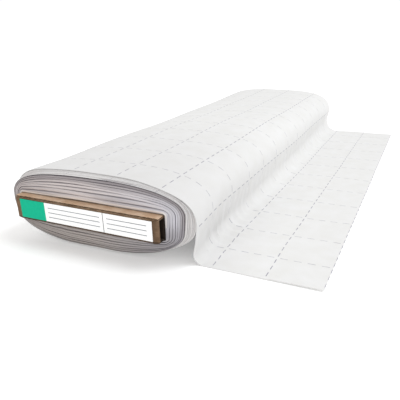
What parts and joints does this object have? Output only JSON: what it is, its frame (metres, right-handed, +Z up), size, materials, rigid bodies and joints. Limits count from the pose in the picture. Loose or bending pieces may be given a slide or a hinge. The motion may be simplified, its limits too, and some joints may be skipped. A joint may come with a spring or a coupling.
{
  "type": "roll of fusible interfacing",
  "caption": "White nonwoven interfacing with a printed dashed grid, wound flat on a cardboard board with its loose end laid out beside it.",
  "frame": {"origin": "under the middle of the whole object, roll and loose end together, on the surface it rests on", "axes": "+Y along the board, away from its labelled end; +X across, towards the loose end; +Z up"},
  "size_m": [0.4077, 0.758, 0.0976],
  "materials": {
    "wound_cloth": "matt white nonwoven, grey-lilac at the layered ends",
    "loose_cloth": "matt white nonwoven with a printed grid of fine violet-grey dashes",
    "kraft_board": "brown corrugated kraft cardboard, matt",
    "label_paper": "smooth printed paper, green block on white"
  },
  "bodies": {
    "root": {"wound_roll": "wound_cloth", "loose_end": "loose_cloth", "board": "kraft_board", "end_label": "label_paper"}
  },
  "joints": []
}
